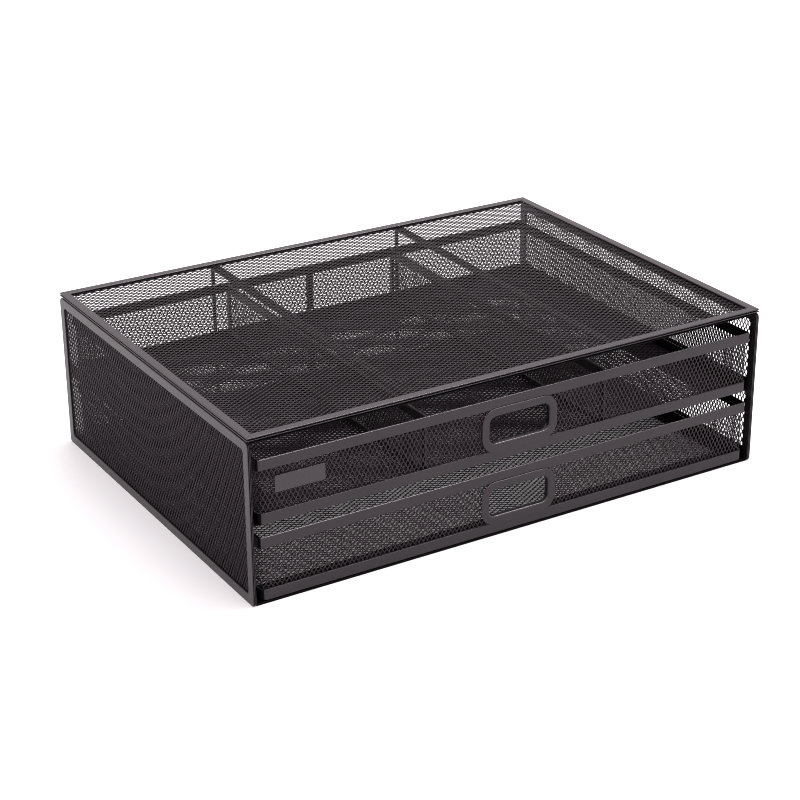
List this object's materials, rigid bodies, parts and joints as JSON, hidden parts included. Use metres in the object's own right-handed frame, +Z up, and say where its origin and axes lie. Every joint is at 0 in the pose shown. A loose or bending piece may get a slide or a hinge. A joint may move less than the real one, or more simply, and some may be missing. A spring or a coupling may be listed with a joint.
{
  "type": "mesh desk organizer with drawers",
  "caption": "Black steel mesh desk organizer: a flat mesh deck over sliding mesh drawers, the upper one divided, each with a finger-pull ring in its front.",
  "frame": {"origin": "middle of the footprint, on the surface the organizer stands on", "axes": "+X along the width, to the right as seen from the front; -Y is the front the drawers open towards; +Z up"},
  "size_m": [0.46, 0.334, 0.134],
  "materials": {
    "powder_coat": "satin black powder coat on folded steel strip",
    "coated_mesh": "satin black powder coat on expanded steel sheet",
    "runner_steel": "satin black powder coat on folded steel angle",
    "label_plate": "smooth dark grey enamel, blank"
  },
  "bodies": {
    "housing": {"deck_rim": "powder_coat", "deck_mesh": "coated_mesh", "deck_cross_bar_left": "powder_coat", "deck_cross_bar_right": "powder_coat", "top_front_rail": "powder_coat", "top_rear_rail": "powder_coat", "bottom_front_rail": "powder_coat", "bottom_rear_rail": "powder_coat", "rear_post_left": "powder_coat", "rear_post_right": "powder_coat", "side_frame_left": "powder_coat", "side_mesh_left": "coated_mesh", "side_frame_right": "powder_coat", "side_mesh_right": "coated_mesh", "upper_runner_left": "runner_steel", "upper_runner_right": "runner_steel", "lower_runner_left": "runner_steel", "lower_runner_right": "runner_steel", "upper_rear_shelf": "runner_steel"},
    "upper_drawer": {"upper_drawer_rim": "powder_coat", "upper_drawer_base_strip": "powder_coat", "upper_drawer_wall_mesh": "coated_mesh", "upper_drawer_floor_mesh": "coated_mesh", "upper_drawer_rear_seam": "powder_coat", "upper_drawer_finger_pull": "powder_coat", "upper_drawer_label_plate": "label_plate", "divider_frame_left": "powder_coat", "divider_mesh_left": "coated_mesh", "divider_frame_right": "powder_coat", "divider_mesh_right": "coated_mesh"},
    "lower_drawer": {"lower_drawer_rim": "powder_coat", "lower_drawer_base_strip": "powder_coat", "lower_drawer_wall_mesh": "coated_mesh", "lower_drawer_floor_mesh": "coated_mesh", "lower_drawer_rear_seam": "powder_coat", "lower_drawer_finger_pull": "powder_coat"}
  },
  "joints": [
    {"name": "upper_drawer_slide", "type": "slide", "parent": "housing", "child": "upper_drawer", "axis": [0, -1, 0], "range_m": [0, 0.25]},
    {"name": "lower_drawer_slide", "type": "slide", "parent": "housing", "child": "lower_drawer", "axis": [0, -1, 0], "range_m": [0, 0.25]}
  ]
}
